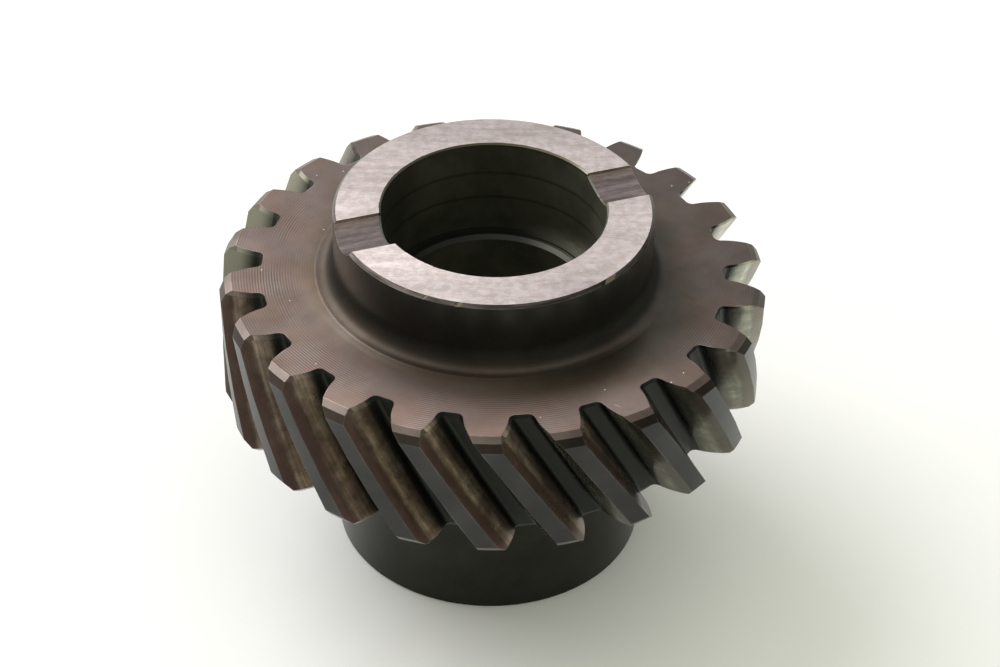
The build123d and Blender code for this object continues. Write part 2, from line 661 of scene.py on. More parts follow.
@dataclass
class Surface:
    """What a finish can read about the point that is shaded.

    Args:
        graph: Adds nodes to the material.
        shape: The gear's sizes.
        here: Cylinder coordinates and the parts of the normal.
        place: Position as a vector, in millimetres.
        edge: 1 on a sharp edge, which gets metal rubbed bare and a painted highlight, and 0
            elsewhere.
        brushing: Group with straight lines.
        face_rings: Turned rings round the axis, on flat faces.
        wall_rings: Turned rings up the walls.
        stains: Blotches and specks.
    """

    graph: Graph
    shape: GearShape
    here: Any
    place: Socket
    edge: Socket
    brushing: LinearBrushing
    face_rings: Any
    wall_rings: Any
    stains: Any

    def toward(self, angle: float) -> Socket:
        """Measures how far a point lies to one side.

        Args:
            angle: Direction of that side, in degrees.

        Returns:
            Distance from the axis in that direction, in millimetres.
        """
        turn = math.radians(angle)
        part = self.graph.times(self.here["Across"], math.sin(turn))
        return self.graph.math("MULTIPLY_ADD", self.here["Along"], math.cos(turn), part)

    def brightness(self) -> Socket:
        """Returns the painted light: 1 at the rim on the lit side, falling to 0 on the other side.
        """
        side = self.graph.ramp(self.toward(PAINTED_LIGHT_AT), -25.0, 40.0)
        return self.graph.math("POWER", side, 1.6)

    def grain(self, angle: float) -> Any:
        """Returns straight lines that run at an angle in degrees."""
        place = {"Along": self.toward(angle), "Across": self.toward(angle + 90)}
        return self.brushing.use(self.graph, {**place, "Height": self.here["Height"]})

    def shade(
        self, colour: Value, value: Value, low: float, high: float, dark: float, light: float
    ) -> Value:
        """Darkens or lightens a colour by a value's place between two limits."""
        level = self.graph.ramp(value, low, high, dark, light)
        return self.graph.mix(1.0, colour, self.graph.combine(level, level, level), "MULTIPLY")

    def blotched(self, colour: Value, dark: float, light: float) -> Value:
        """Darkens or lightens a colour by the stains."""
        return self.shade(colour, self.stains["Blotch"], 0.3, 0.7, dark, light)

    def edge_wear_and_sheen(self, colour: Value, share: float, bare: Value) -> Value:
        """Gives the sharp edges a share of another colour, for metal rubbed bare and a painted
        highlight.
        """
        return self.graph.mix(self.graph.times(self.edge, share), colour, bare)


class Finish:
    """Base of the finishes. Each one turns a surface into a coat."""

    def coat(self, surface: Surface) -> Coat:
        """Gives the finish's look at a point.

        Args:
            surface: What can be read about the point.

        Returns:
            The coat there.
        """
        raise NotImplementedError


@dataclass(frozen=True)
class GroundRing(Finish):
    """Bright ground face with straight lines, painted shade along one axis and a painted highlight
    on one side.

    Args:
        colour: Its mean colour.
        lines_at: Direction of the lines in degrees.
        dull_mottle: Tone of the dull spots.
        bright_mottle: Tone of the bright spots.
    """

    colour: Colour = (0.54, 0.475, 0.465)
    lines_at: float = -20.0
    dull_mottle: Colour = (0.9, 0.87, 0.84)
    bright_mottle: Colour = (1.07, 1.07, 1.08)

    def coat(self, surface: Surface) -> Coat:
        """Gives the finish's look at a point.

        Args:
            surface: What can be read about the point.

        Returns:
            The coat there.
        """
        graph = surface.graph
        grain = surface.grain(self.lines_at)
        colour = surface.shade(self.colour, grain["Broad"], 0.3, 0.7, 0.96, 1.03)
        tone = surface.shade(colour, grain["Fine"], 0.25, 0.75, 0.88, 1.11)
        mottle = graph.noise(surface.place, 0.75, 3.0, 0.7)
        spots = graph.mix(graph.ramp(mottle, 0.38, 0.62), self.dull_mottle, self.bright_mottle)
        colour = graph.mix(1.0, tone, spots, "MULTIPLY")
        # Painted shade: darker towards both ends of the axis across the lines.
        off_axis = graph.math("ABSOLUTE", surface.toward(self.lines_at + 90.0))
        colour = surface.shade(colour, off_axis, 14.0, 21.0, 1.0, 0.8)
        # Painted highlight: lighter towards one side.
        colour = surface.shade(colour, surface.toward(215.0), 6.0, 24.0, 1.0, 1.45)
        colour = surface.blotched(colour, 0.95, 1.04)
        roughness = graph.ramp(grain["Broad"], 0.3, 0.7, 0.24, 0.34)
        relief = graph.times(grain["Fine"], 0.004)
        return Coat(colour, roughness, relief)


@dataclass(frozen=True)
class TurnedFace(Finish):
    """Brown oxidised face with fine turned rings, with painted light on one side and painted shade
    near the hub.

    Args:
        dark: Colour on the painted shaded side.
        light: Colour on the painted lit side.
        warmth: How the tone changes towards the hub.
        hub_shade: Colour of the painted shade near the hub, where the face meets it.
        hub_shade_at: Direction in which the painted shade reaches furthest out, in degrees.
        front_at: Direction in which light is painted strongest on the rim, in degrees.
        brown: Tone of the brown stains.
        mark: Colour of the specks and scratches.
        scuff: Colour of the scuffs at the hub's foot.
        scuffed_from: Where the scuffs start, in radians round the axis.
        scuffed_to: Where they end.
        dull_burr_and_sheen: Colour of the sharp edges, as burrs and a painted highlight, where they
            are dull.
        bright_burr_and_sheen: Their colour where they are bright.
    """

    dark: Colour = (0.1, 0.078, 0.067)
    light: Colour = (0.21, 0.16, 0.14)
    warmth: Colour = (0.93, 0.93, 0.76)
    hub_shade: Colour = (0.025, 0.023, 0.019)
    hub_shade_at: float = -70.0
    front_at: float = -103.0
    brown: Colour = (1.0, 0.83, 0.7)
    mark: Colour = (0.8, 0.78, 0.72)
    scuff: Colour = (0.6, 0.55, 0.47)
    scuffed_from: float = -2.95
    scuffed_to: float = -2.4
    dull_burr_and_sheen: Colour = (0.11, 0.066, 0.045)
    bright_burr_and_sheen: Colour = (0.5, 0.46, 0.41)

    def coat(self, surface: Surface) -> Coat:
        """Gives the finish's look at a point.

        Args:
            surface: What can be read about the point.

        Returns:
            The coat there.
        """
        graph = surface.graph
        rings = surface.face_rings
        stains = surface.stains
        radius, angle = surface.here["Radius"], surface.here["Angle"]
        side = surface.brightness()
        # Painted light: the lit colour on one side of the gear, the shaded colour on the other.
        colour = graph.mix(side, self.dark, self.light)
        # Towards the hub the face is tinted and gets painted shade, which reaches furthest out on
        # one side and is darkest away from the painted light.
        hub_shade_reach = graph.ramp(surface.toward(self.hub_shade_at), 16.0, 34.0, 1.6, -3.2)
        near_hub = graph.ramp(graph.math("ADD", radius, hub_shade_reach), 26.5, 33.5, 1.0, 0.0)
        colour = graph.mix(near_hub, colour, self.warmth, "MULTIPLY")
        colour = graph.mix(graph.times(near_hub, graph.blend(side, 0.8, 0.0)), colour, self.hub_shade)
        # Painted light towards the front of the rim.
        colour = surface.shade(colour, surface.toward(self.front_at), 20.0, 33.0, 1.0, 1.3)
        # Painted light near the hub's foot on the lit side, then painted shade in the hollow right
        # at the foot.
        foot = graph.times(graph.ramp(radius, 28.0, 31.5, 1.0, 0.0), side)
        colour = surface.shade(colour, foot, 0.0, 1.0, 1.0, 1.3)
        hollow = graph.times(graph.ramp(radius, 26.4, 27.5, 1.0, 0.0), side)
        colour = surface.shade(colour, hollow, 0.0, 1.0, 1.0, 0.64)
        stained = graph.ramp(stains["Tint"], 0.4, 0.65, 0.0, 0.5)
        colour = graph.mix(stained, colour, self.brown, "MULTIPLY")
        colour = surface.blotched(colour, 0.85, 1.15)
        # The rings' contrast is painted stronger on the lit side.
        depth = graph.times(rings["Strength"], graph.blend(side, 0.5, 1.0))
        depth = graph.times(depth, graph.ramp(radius, 27.5, 34.0, 0.15, 1.0))
        marked = graph.times(graph.minus(rings["Groove"], 0.5), depth)
        colour = surface.shade(colour, marked, -0.4, 0.4, 0.72, 1.3)
        marks = graph.math("MAXIMUM", stains["Speck"], stains["Scratch"])
        colour = graph.mix(marks, colour, self.mark)
        scuffed = graph.band(radius, 27.0, 28.4, 0.4)
        scuffed = graph.times(scuffed, graph.band(angle, self.scuffed_from, self.scuffed_to, 0.15))
        scuffed = graph.times(scuffed, graph.ramp(rings["Strength"], 0.25, 0.65, 0.2, 0.9))
        colour = graph.mix(scuffed, colour, self.scuff)
        # Sharp edges: burrs and a painted highlight, brighter in some patches.
        burr = graph.mix(graph.ramp(stains["Blotch"], 0.5, 0.6), self.dull_burr_and_sheen, self.bright_burr_and_sheen)
        colour = surface.edge_wear_and_sheen(colour, 0.7, burr)
        relief = graph.times(rings["Relief"], graph.ramp(radius, 28.0, 33.0, 0.0, 0.003))
        return Coat(colour, graph.ramp(stains["Blotch"], 0.3, 0.7, 0.42, 0.34), relief)


@dataclass(frozen=True)
class OxideHub(Finish):
    """Nearly black turned hub wall.

    Args:
        colour: Its mean colour.
        edge: Colour of its sharp edges, as metal rubbed bare and a painted highlight.
    """

    colour: Colour
    edge: Colour = (0.16, 0.15, 0.12)

    def coat(self, surface: Surface) -> Coat:
        """Gives the finish's look at a point.

        Args:
            surface: What can be read about the point.

        Returns:
            The coat there.
        """
        graph = surface.graph
        rings = surface.wall_rings
        colour = surface.blotched(self.colour, 0.82, 1.2)
        marked = graph.times(graph.minus(rings["Groove"], 0.5), rings["Strength"])
        colour = surface.shade(colour, marked, -0.4, 0.4, 0.93, 1.08)
        # Sharp edges: metal rubbed bare and a painted highlight.
        colour = surface.edge_wear_and_sheen(colour, 0.2, self.edge)
        return Coat(colour, 0.3)


@dataclass(frozen=True)
class BoredSeat(Finish):
    """Dark bore wall with fine turned lines and two faint dark rings.

    Args:
        colour: Its mean colour.
        ring: Colour of the two faint dark rings.
        ring_depths: Their depths below the end face, in millimetres.
        lip: Colour of the bore's rim.
        lit_at: Direction of the side that is lit, in degrees.
    """

    colour: Colour = (0.145, 0.145, 0.112)
    ring: Colour = (0.03, 0.03, 0.02)
    ring_depths: tuple[float, float] = (5.5, 10.1)
    lip: Colour = (0.12, 0.105, 0.06)
    lit_at: float = -20.0

    def coat(self, surface: Surface) -> Coat:
        """Gives the finish's look at a point.

        Args:
            surface: What can be read about the point.

        Returns:
            The coat there.
        """
        graph = surface.graph
        height = surface.here["Height"]
        colour = surface.blotched(self.colour, 0.75, 1.25)
        colour = surface.shade(colour, surface.wall_rings["Groove"], 0.0, 1.0, 0.93, 1.07)
        colour = surface.shade(colour, surface.toward(self.lit_at), 4.0, 17.0, 1.0, 2.2)
        top = surface.shape.total_height
        for depth in self.ring_depths:
            ring = graph.band(height, top - depth - 0.2, top - depth + 0.2, 0.3)
            colour = graph.mix(graph.times(ring, 0.6), colour, self.ring)
        floor = surface.shape.seat_floor
        colour = surface.shade(colour, height, floor - 1.0, floor, 1.3, 1.0)
        lip = graph.times(graph.ramp(height, top - 0.9, top - 0.4), 0.6)
        colour = graph.mix(lip, colour, self.lip)
        return Coat(colour, 0.28)


@dataclass(frozen=True)
class MilledSlot(Finish):
    """Slot floor and walls with milling lines along the slot.

    Args:
        floor: Colour of the floor.
        wall: Colour of the walls.
        edge: Colour of the sharp edges, as metal rubbed bare and a painted highlight.
    """

    floor: Colour = (0.19, 0.155, 0.15)
    wall: Colour = (0.5, 0.38, 0.3)
    edge: Colour = (0.5, 0.45, 0.4)

    def coat(self, surface: Surface) -> Coat:
        """Gives the finish's look at a point.

        Args:
            surface: What can be read about the point.

        Returns:
            The coat there.
        """
        graph = surface.graph
        grain = surface.grain(0.0)
        upward = graph.ramp(surface.here["Up"], 0.5, 0.95)
        colour = graph.mix(upward, self.wall, self.floor)
        colour = surface.shade(colour, grain["Broad"], 0.3, 0.7, 0.7, 1.25)
        colour = surface.shade(colour, grain["Fine"], 0.25, 0.75, 0.75, 1.25)
        # Sharp edges: metal rubbed bare and a painted highlight.
        colour = surface.edge_wear_and_sheen(colour, 0.6, self.edge)
        return Coat(colour, 0.34)


@dataclass(frozen=True)
class ToothFlank(Finish):
    """Hobbed flank with streaks along the tooth, darker towards its root, with painted light on one
    side and a painted reflection on a few flanks.

    Args:
        pale: Colour of the pale streaks.
        deep: Colour of the dark streaks.
        flush: Reddish colour of some patches.
        root: Colour at the root.
        roughness: Its mean roughness.
        lit_at: Direction of the side where light is painted strongest on the flanks, in degrees.
        dull_level: Level of the painted shade on the other sides.
        lit_level: Level of the painted light on that side.
        painted_reflection: Colour of the painted reflection of the bright surroundings on a few
            flanks.
        painted_reflection_at: Direction of those flanks, in degrees.
        edge: Colour of the sharp edges, as metal rubbed bare and a painted highlight.
    """

    pale: Colour = (0.28, 0.222, 0.165)
    deep: Colour = (0.115, 0.09, 0.066)
    flush: Colour = (0.1, 0.06, 0.048)
    root: Colour = (0.015, 0.017, 0.012)
    roughness: float = 0.28
    lit_at: float = -138.0
    dull_level: float = 0.25
    lit_level: float = 1.3
    painted_reflection: Colour = (0.21, 0.205, 0.15)
    painted_reflection_at: float = 137.0
    edge: Colour = (0.3, 0.25, 0.2)

    def coat(self, surface: Surface) -> Coat:
        """Gives the finish's look at a point.

        Args:
            surface: What can be read about the point.

        Returns:
            The coat there.
        """
        graph = surface.graph
        shape = surface.shape
        stains = surface.stains
        radius, angle, height = (surface.here[key] for key in ("Radius", "Angle", "Height"))
        untwisted = graph.math("MULTIPLY_ADD", height, shape.twist_per_mm, angle)
        lane = graph.times(untwisted, shape.tip_radius * 0.35)
        streak_place = graph.combine(graph.times(radius, 1.6), lane, graph.times(height, 0.11))
        streak = graph.noise(streak_place, 1.0, 2.0, 0.6)
        colour = graph.mix(graph.ramp(streak, 0.25, 0.75), self.deep, self.pale)
        colour = graph.mix(graph.ramp(stains["Tint"], 0.42, 0.68, 0.0, 0.6), colour, self.flush)
        patch = graph.noise(surface.place, 0.5, 2.0, 0.6)
        colour = surface.shade(colour, patch, 0.3, 0.7, 0.72, 1.35)
        polished = graph.band(radius, 37.1, 39.9, 0.7)
        colour = surface.shade(colour, polished, 0.0, 1.0, 0.62, 1.4)
        tip_strip = graph.ramp(radius, shape.tip_radius - 2.0, shape.tip_radius - 1.0, 0.0, 0.75)
        colour = graph.mix(tip_strip, colour, self.flush)
        # Painted light on the flanks on one side of the gear, painted shade on the others.
        lit = surface.toward(self.lit_at)
        colour = surface.shade(colour, lit, 14.0, 36.0, self.dull_level, self.lit_level)
        # Painted reflection of the bright surroundings on the flanks that face them.
        reflecting = graph.ramp(surface.toward(self.painted_reflection_at), 33.0, 37.0)
        colour = graph.mix(reflecting, colour, self.painted_reflection)
        colour = graph.mix(graph.ramp(radius, 35.4, 39.2), self.root, colour)
        # Sharp edges: metal rubbed bare and a painted highlight.
        colour = surface.edge_wear_and_sheen(colour, 0.35, self.edge)
        smooth, rough = self.roughness * 0.8, self.roughness * 1.25
        return Coat(colour, graph.ramp(stains["Blotch"], 0.3, 0.7, smooth, rough))


@dataclass(frozen=True)
class ToothLand(Finish):
    """Blue-grey outside of a tooth, with faint turned lines and pale edges of bare metal and
    painted highlight.

    Args:
        colour: Its mean colour.
        edge: Colour of its sharp edges, as metal rubbed bare and a painted highlight, and of its
            scratches.
    """

    colour: Colour = (0.04, 0.039, 0.038)
    edge: Colour = (0.3, 0.28, 0.25)

    def coat(self, surface: Surface) -> Coat:
        """Gives the finish's look at a point.

        Args:
            surface: What can be read about the point.

        Returns:
            The coat there.
        """
        graph = surface.graph
        stains = surface.stains
        colour = surface.blotched(self.colour, 0.85, 1.2)
        colour = surface.shade(colour, surface.wall_rings["Groove"], 0.0, 1.0, 0.94, 1.06)
        # Sharp edges in patches, as metal rubbed bare and a painted highlight, and scratches.
        wear_sheen_and_scratches = graph.times(surface.edge, graph.ramp(stains["Blotch"], 0.4, 0.65, 0.1, 0.5))
        wear_sheen_and_scratches = graph.math("MAXIMUM", wear_sheen_and_scratches, graph.times(stains["Scratch"], 0.4))
        colour = graph.mix(wear_sheen_and_scratches, colour, self.edge)
        return Coat(colour, 0.3)


@dataclass(frozen=True)
class TurnedBevel(Finish):
    """Turned bevel, with painted light on one side of the gear.

    Args:
        dark: Colour on the painted shaded side.
        light: Colour on the painted lit side.
        edge: Colour of its sharp edges, as metal rubbed bare and a painted highlight.
        roughness: Its roughness.
    """

    dark: Colour
    light: Colour
    edge: Colour = (0.4, 0.35, 0.3)
    roughness: float = 0.34

    def coat(self, surface: Surface) -> Coat:
        """Gives the finish's look at a point.

        Args:
            surface: What can be read about the point.

        Returns:
            The coat there.
        """
        # Painted light on one side of the gear, then sharp edges with metal rubbed bare and a
        # painted highlight.
        colour = surface.graph.mix(surface.brightness(), self.dark, self.light)
        colour = surface.edge_wear_and_sheen(surface.blotched(colour, 0.75, 1.25), 0.2, self.edge)
        return Coat(colour, self.roughness)


@dataclass(frozen=True)
class NickedChamfer(TurnedBevel):
    """Turned chamfer with a few bruises, each with painted shade on one side.

    Args:
        nicks: Middle and half width of each bruise, in degrees round the axis.
        bruise: Colour of the bruises.
        bruise_shade: Colour of the painted shade on one side of each bruise.
    """

    nicks: tuple[tuple[float, float], ...] = (
        (-63.7, 2.4),
        (-120.6, 0.8),
        (-133.0, 0.4),
        (-141.5, 0.3),
    )
    bruise: Colour = (0.26, 0.22, 0.16)
    bruise_shade: Colour = (0.02, 0.017, 0.014)

    def coat(self, surface: Surface) -> Coat:
        """Gives the finish's look at a point.

        Args:
            surface: What can be read about the point.

        Returns:
            The coat there.
        """
        graph = surface.graph
        coat = super().coat(surface)
        degrees = graph.math("DEGREES", surface.here["Angle"])
        radius = surface.here["Radius"]
        slant = graph.times(graph.minus(radius, surface.shape.hub_radius), 3.0)
        slant = graph.math("MULTIPLY_ADD", graph.noise(surface.place, 2.5, 2.0, 0.7), 2.5, slant)
        lines_place = graph.combine(graph.times(radius, 5.0), graph.times(degrees, 0.06), 0.0)
        lines = graph.noise(lines_place, 1.0, 2.0, 0.6)
        colour = surface.shade(coat.colour, lines, 0.35, 0.65, 0.55, 1.5)
        for middle, half_width in self.nicks:
            away = graph.minus(graph.math("ADD", degrees, slant), middle)
            nick = graph.band(away, -half_width, half_width, 0.2)
            # Painted shade beside each bruise, on one side.
            bruise_shade = graph.band(away, -half_width * 1.8, -half_width, 0.2)
            colour = graph.mix(nick, colour, self.bruise)
            colour = graph.mix(graph.times(bruise_shade, 0.7), colour, self.bruise_shade)
        return Coat(colour, coat.roughness, coat.relief)


@dataclass(frozen=True)
class PlainTurned(Finish):
    """Plain turned surface.

    Args:
        colour: Its mean colour.
        roughness: Its roughness.
    """

    colour: Colour = (0.1, 0.085, 0.07)
    roughness: float = 0.38

    def coat(self, surface: Surface) -> Coat:
        """Gives the finish's look at a point.

        Args:
            surface: What can be read about the point.

        Returns:
            The coat there.
        """
        colour = surface.shade(self.colour, surface.face_rings["Groove"], 0.0, 1.0, 0.92, 1.08)
        return Coat(colour, self.roughness)


@dataclass(frozen=True)
class SeatFloor(PlainTurned):
    """Dark floor of the bearing seat, with two lines that catch the light on one side.

    Args:
        line: Colour of the lines.
        lit_at: Direction of the side that is lit, in degrees.
    """

    line: Colour = (0.34, 0.33, 0.29)
    lit_at: float = -10.0

    def coat(self, surface: Surface) -> Coat:
        """Gives the finish's look at a point.

        Args:
            surface: What can be read about the point.

        Returns:
            The coat there.
        """
        graph = surface.graph
        coat = super().coat(surface)
        middle = (surface.shape.seat_radius + surface.shape.bore_radius) / 2
        away = graph.math("ABSOLUTE", graph.minus(surface.here["Radius"], middle))
        lines = graph.ramp(away, 0.1, 0.22)
        lit = graph.ramp(surface.toward(self.lit_at), 6.0, 17.0, 0.05, 1.0)
        colour = graph.mix(graph.times(lines, lit), coat.colour, self.line)
        return Coat(colour, coat.roughness, coat.relief)


@dataclass(frozen=True)
class HubFoot(Finish):
    """Blend from the rim's face to the wall of the upper hub, with painted shade at the foot.

    Args:
        face: Finish of the face.
        wall: Finish of the wall.
        blend_height: Height above the face where the wall's finish is reached, in millimetres.
        dull_dim: How the painted shade at the foot dims the face on the side away from the painted
            light.
        bright_dim: The same on the lit side.
        bright_wall: Level of the painted shade over the whole blend on the lit side.
        roughness: Roughness of the blend.
    """

    face: Finish
    wall: Finish
    blend_height: float = 1.6
    dull_dim: Colour = (0.34, 0.35, 0.33)
    bright_dim: Colour = (0.62, 0.62, 0.56)
    bright_wall: float = 0.5
    roughness: float = 0.62

    def coat(self, surface: Surface) -> Coat:
        """Gives the finish's look at a point.

        Args:
            surface: What can be read about the point.

        Returns:
            The coat there.
        """
        graph = surface.graph
        start = surface.shape.rim_top
        height = surface.here["Height"]
        face = self.face.coat(surface)
        side = surface.brightness()
        # Painted shade at the foot, where the face meets the hub wall, deeper on the side away from
        # the painted light.
        dimmed = graph.mix(side, self.dull_dim, self.bright_dim)
        foot_shade = graph.mix(graph.ramp(height, start, start + 0.9), WHITE, dimmed)
        shaded_face = Coat(graph.mix(1.0, face.colour, foot_shade, "MULTIPLY"), face.roughness, face.relief)
        end = graph.math("MULTIPLY_ADD", side, 2.0, start + self.blend_height)
        climb = graph.ramp(height, start, end)
        mixed = layered(graph, climb, shaded_face, self.wall.coat(surface))
        polish = graph.ramp(height, start + 1.0, start + 5.0, self.roughness, 0.3)
        roughness = graph.blend(graph.ramp(height, start, start + 0.7), face.roughness, polish)
        # Painted shade over the whole blend on the lit side.
        lit = surface.toward(PAINTED_LIGHT_AT)
        colour = surface.shade(mixed.colour, lit, 8.0, 25.0, 1.0, self.bright_wall)
        return Coat(colour, roughness, mixed.relief)


OLIVE_FLANK = ToothFlank(
    pale=(0.34, 0.345, 0.27),
    deep=(0.2, 0.2, 0.14),
    flush=(0.2, 0.17, 0.12),
    roughness=0.2,
    lit_at=20.0,
    dull_level=0.55,
    lit_level=1.2,
)

LAYERS: tuple[tuple[Zone, Finish], ...] = (
    (Zone.LOWER_HUB, OxideHub((0.022, 0.023, 0.016))),
    (Zone.LEFT_FLANK, OLIVE_FLANK),
    (Zone.RIGHT_FLANK, ToothFlank()),
    (Zone.ROOT, PlainTurned((0.02, 0.022, 0.017), 0.42)),
    (Zone.LAND, ToothLand()),
    (Zone.STEEP_BEVEL, TurnedBevel((0.028, 0.022, 0.014), (0.05, 0.04, 0.03))),
    # Pale: a painted reflection on the break at the lower ends of the right flanks.
    (Zone.FLANK_END, PlainTurned((0.42, 0.42, 0.4), 0.28)),
    (Zone.FLANK_BURR, PlainTurned((0.03, 0.028, 0.02), 0.4)),
    (Zone.TIP_BEVEL, TurnedBevel((0.11, 0.085, 0.068), (0.13, 0.106, 0.088))),
    (Zone.UPPER_HUB, HubFoot(TurnedFace(), OxideHub((0.037, 0.037, 0.029)))),
    (Zone.RIM_FACE, TurnedFace()),
    (Zone.HUB_CHAMFER, NickedChamfer((0.05, 0.045, 0.038), (0.14, 0.12, 0.105))),
    (Zone.SLOT, MilledSlot()),
    (Zone.RING, GroundRing()),
    (Zone.BORE, BoredSeat()),
    (Zone.SEAT_FLOOR, SeatFloor((0.022, 0.022, 0.018), 0.3)),
)


@dataclass
class SteelMaterial:
    """The gear's material: dark steel whose finish changes from zone to zone.

    Args:
        shape: The gear's sizes.
        name: Name of the material.
        metallic: Share of bare metal, where the rest is oxide.
        anisotropy: How much the machining marks stretch the highlights.
        edge_wear_and_sheen_width: Width of the sharp edges that get a painted highlight and metal
            rubbed bare, in metres.
        face_spacing: Distance between the turned rings of the faces, in millimetres.
        wall_spacing: Distance between the turned rings of the walls, in millimetres.
        stain_scale: 1 / the size of the blotches, in millimetres.
    """

    shape: GearShape
    name: str = "machined_steel"
    metallic: float = 0.8
    anisotropy: float = 0.5
    edge_wear_and_sheen_width: float = 0.0003
    face_spacing: float = 0.42
    wall_spacing: float = 0.35
    stain_scale: float = 0.13

    def make(self) -> bpy.types.Material:
        """Builds the material.

        Returns:
            The finished material.
        """
        material = bpy.data.materials.new(self.name)
        material.use_nodes = True
        material.node_tree.nodes.clear()
        graph = Graph(material.node_tree)
        polar = PolarFrame()
        masks = ZoneMasks(self.shape, polar).use(graph)
        here = polar.use(graph)
        place = graph.combine(here["Along"], here["Across"], here["Height"])
        rings = TurnedRings()
        across_face = {"Distance": here["Radius"], "Spacing": self.face_spacing, "Place": place}
        up_wall = {"Distance": here["Height"], "Spacing": self.wall_spacing, "Place": place}
        surface = Surface(
            graph=graph,
            shape=self.shape,
            here=here,
            place=place,
            # Sharp edges, for metal rubbed bare and a painted highlight.
            edge=self.edge_wear_and_sheen_mask(graph),
            brushing=LinearBrushing(),
            face_rings=rings.use(graph, across_face),
            wall_rings=rings.use(graph, up_wall),
            stains=Stains().use(graph, {"Place": place, "Scale": self.stain_scale}),
        )
        coat = PlainTurned().coat(surface)
        for zone, finish in LAYERS:
            coat = layered(graph, masks[zone.value], coat, finish.coat(surface))
        normal = self.smooth_normal(graph, ToothNormal(self.shape, polar).use(graph), masks)
        relief = {"Strength": 1.0, "Distance": MM, "Height": coat.relief, "Normal": normal}
        bump = graph.node("ShaderNodeBump", relief)
        shader = graph.node(
            "ShaderNodeBsdfPrincipled",
            {
                "Base Color": coat.colour,
                "Roughness": coat.roughness,
                "Metallic": self.metallic,
                "Anisotropic": self.anisotropy,
                "Tangent": self.lay(graph),
                "Normal": bump.outputs["Normal"],
            },
        )
        output = graph.node("ShaderNodeOutputMaterial")
        graph.feed(output.inputs["Surface"], shader.outputs["BSDF"])
        return material

    def smooth_normal(self, graph: Graph, exact: Any, masks: Any) -> Socket:
        """Puts the exact normals on the tooth tops and flanks.

        Args:
            graph: Adds nodes to the material.
            exact: Outputs of the group with the exact normals.
            masks: Masks of the zones, by name.

        Returns:
            The normal.
        """
        normal = graph.node("ShaderNodeNewGeometry").outputs["Normal"]
        normal = graph.pick(masks[Zone.LAND.value], normal, exact["Land"])
        return graph.pick(masks[Zone.TRUE_FLANK.value], normal, exact["Flank"])

    def edge_wear_and_sheen_mask(self, graph: Graph) -> Socket:
        """Finds the sharp edges, which get metal rubbed bare and a painted highlight.

        Args:
            graph: Adds nodes to the material.

        Returns:
            1 on sharp edges and 0 away from them.
        """
        rounded = graph.node("ShaderNodeBevel", {"Radius": self.edge_wear_and_sheen_width}, samples=2)
        true_normal = graph.node("ShaderNodeNewGeometry").outputs["Normal"]
        likeness = graph.vector("DOT_PRODUCT", rounded.outputs["Normal"], true_normal)
        return graph.ramp(likeness.outputs["Value"], 0.93, 0.995, 1.0, 0.0)

    def lay(self, graph: Graph) -> Socket:
        """Lays the machining marks straight on the ring and round the axis elsewhere.

        Args:
            graph: Adds nodes to the material.

        Returns:
            The direction of the marks.
        """
        place = graph.node("ShaderNodeTexCoord").outputs["Object"]
        height = graph.node("ShaderNodeSeparateXYZ", {0: place}).outputs["Z"]
        ring = graph.math("GREATER_THAN", height, (self.shape.total_height - 0.05) * MM)
        round_lay = graph.node("ShaderNodeTangent", direction_type="RADIAL", axis="Z").outputs[0]
        turn = math.radians(GroundRing.lines_at)
        straight_lay = (math.cos(turn), math.sin(turn), 0.0)
        return graph.pick(ring, round_lay, straight_lay)


@dataclass
class Gear:
    """The gear itself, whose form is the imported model.

    Args:
        node: Name of the model's node.
        shape: The gear's sizes.
    """

    node: bpy.types.Object
    shape: GearShape

    def dress(self) -> None:
        """Gives the gear its material."""
        material = SteelMaterial(self.shape).make()
        self.node.data.materials.clear()
        self.node.data.materials.append(material)


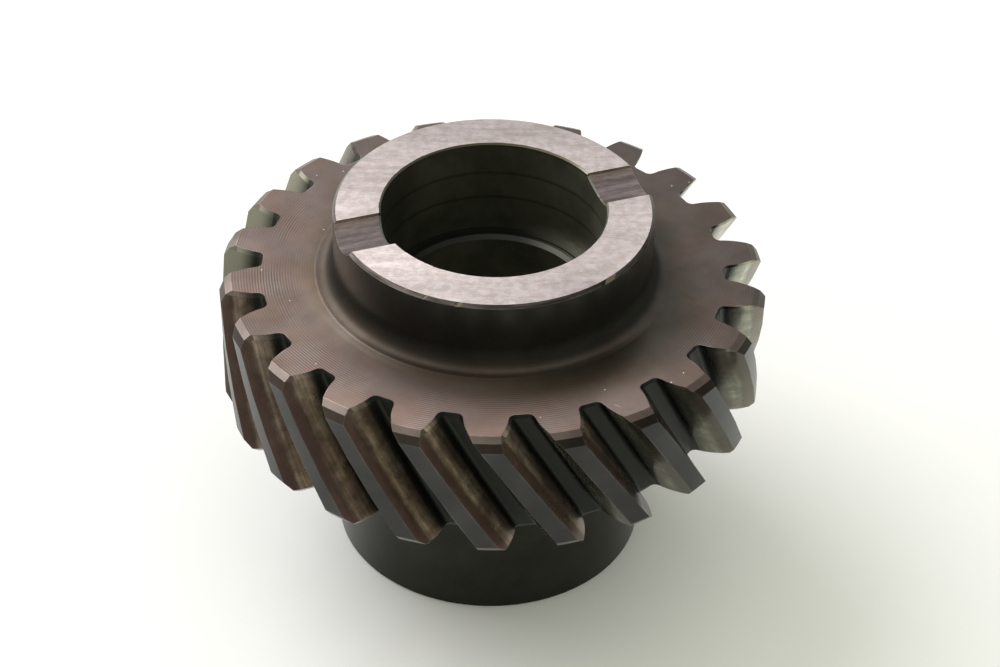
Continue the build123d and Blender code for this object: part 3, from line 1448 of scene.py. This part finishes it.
@dataclass
class Studio:
    """Floor, world and lamp.

    Args:
        floor_size: Side of the square floor, in metres.
        bright_side: Direction in which the surroundings are brightest.
        front_level: Brightness of the opposite side, as the steel mirrors it.
        fill_level: Brightness of the even light that falls on everything.
        fill_colour: Colour of that light.
        floor_colour: Colour of the floor.
        key_place: Where the lamp hangs, in metres.
        key_target: The point that it faces, in metres.
        key_size: Side of its square panel, in metres.
        key_power: Its power, in watts.
        key_colour: Colour of its light.
    """

    floor_size: float = 6.0
    bright_side: tuple[float, float, float] = (-0.35, 0.8, 0.5)
    front_level: float = 0.25
    fill_level: float = 0.78
    fill_colour: Colour = (0.985, 1.0, 0.86)
    floor_colour: Colour = (0.93, 0.93, 0.93)
    key_place: tuple[float, float, float] = (-0.5, 0.8, 0.85)
    key_target: tuple[float, float, float] = (0.0, 0.0, 0.04)
    key_size: float = 1.1
    key_power: float = 13.0
    key_colour: Colour = (1.0, 0.985, 1.04)

    def floor(self) -> bpy.types.Object:
        """Lays a pale, slightly glossy floor.

        Returns:
            The floor.
        """
        half = self.floor_size / 2
        corners = [(-half, -half, 0), (half, -half, 0), (half, half, 0), (-half, half, 0)]
        mesh = bpy.data.meshes.new("floor")
        mesh.from_pydata(corners, [], [(0, 1, 2, 3)])
        floor = bpy.data.objects.new("floor", mesh)
        bpy.context.scene.collection.objects.link(floor)
        material = bpy.data.materials.new("pale_floor")
        material.use_nodes = True
        shader = material.node_tree.nodes["Principled BSDF"]
        shader.inputs["Base Color"].default_value = (*self.floor_colour, 1)
        shader.inputs["Roughness"].default_value = 0.45
        mesh.materials.append(material)
        return floor

    def world(self) -> None:
        """Surrounds the gear with white that is brighter behind it and plain to look at."""
        world = bpy.data.worlds.new("studio_world")
        bpy.context.scene.world = world
        world.use_nodes = True
        world.node_tree.nodes.clear()
        graph = Graph(world.node_tree)
        ray = graph.node("ShaderNodeTexCoord").outputs["Generated"]
        brightest = Vector(self.bright_side).normalized()
        facing = graph.vector("DOT_PRODUCT", ray, brightest).outputs["Value"]
        level = graph.ramp(facing, -0.5, 0.75, self.front_level, 1.0)
        kind = graph.node("ShaderNodeLightPath").outputs
        glossy = graph.math("MAXIMUM", kind["Is Glossy Ray"], kind["Is Transmission Ray"])
        strength = graph.blend(glossy, self.fill_level, level)
        strength = graph.blend(kind["Is Camera Ray"], strength, 1.0)
        lighting = graph.minus(1.0, graph.math("MAXIMUM", glossy, kind["Is Camera Ray"]))
        tint = graph.mix(lighting, WHITE, self.fill_colour)
        background = graph.node("ShaderNodeBackground", {"Color": tint, "Strength": strength})
        output = graph.node("ShaderNodeOutputWorld")
        graph.feed(output.inputs["Surface"], background.outputs["Background"])

    def key_lamp(self) -> None:
        """Hangs one soft square lamp that faces the gear."""
        data = bpy.data.lights.new("key", "AREA")
        data.size = self.key_size
        data.energy = self.key_power
        data.color = self.key_colour
        lamp = bpy.data.objects.new("key", data)
        lamp.location = self.key_place
        lamp.rotation_mode = "QUATERNION"
        facing = Vector(self.key_target) - lamp.location
        lamp.rotation_quaternion = facing.to_track_quat("-Z", "Y")
        bpy.context.scene.collection.objects.link(lamp)

    def build(self) -> None:
        """Sets up the whole studio."""
        self.floor()
        self.world()
        self.key_lamp()


@dataclass(frozen=True)
class Viewpoint:
    """The camera, as angles about the gear.

    Args:
        azimuth: Direction of view about Z in degrees, where 0 looks along +Y.
        elevation: Angle above the horizon in degrees.
        distance: From the lens to the point looked at, in metres.
        lens: Focal length in millimetres on a 36 mm sensor.
        roll: Turn of the camera about its own axis in degrees.
        aim: The point looked at, in metres.
    """

    azimuth: float = -20.0
    elevation: float = 38.472
    distance: float = 0.4126
    lens: float = 95.44
    roll: float = 1.193
    aim: tuple[float, float, float] = (0.00124, -0.00042, 0.03559)

    def place(self) -> bpy.types.Object:
        """Puts the camera in the scene and makes it the active one.

        Returns:
            The camera object.
        """
        turn = math.radians(self.azimuth)
        tilt = math.radians(self.elevation)
        level = math.cos(tilt)
        back = Vector((math.sin(turn) * level, -math.cos(turn) * level, math.sin(tilt)))
        data = bpy.data.cameras.new("camera")
        data.lens = self.lens
        data.sensor_width = 36.0
        camera = bpy.data.objects.new("camera", data)
        turned = (-back).to_track_quat("-Z", "Y").to_matrix().to_4x4()
        rolled = turned @ Matrix.Rotation(math.radians(self.roll), 4, "Z")
        camera.matrix_world = Matrix.Translation(Vector(self.aim) + back * self.distance) @ rolled
        bpy.context.scene.collection.objects.link(camera)
        bpy.context.scene.camera = camera
        return camera


def main() -> None:
    """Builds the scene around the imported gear."""
    logging.basicConfig(level=logging.INFO)
    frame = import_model()
    shape = GearShape.from_frame(frame)
    Gear(frame["nodes"]["helical_gear"], shape).dress()
    Studio().build()
    Viewpoint().place()
    bpy.context.scene.view_settings.view_transform = "Standard"
    LOG.info("helical gear dressed, %.1f mm across its tips", shape.tip_radius * 2)


if __name__ == "__main__":
    main()
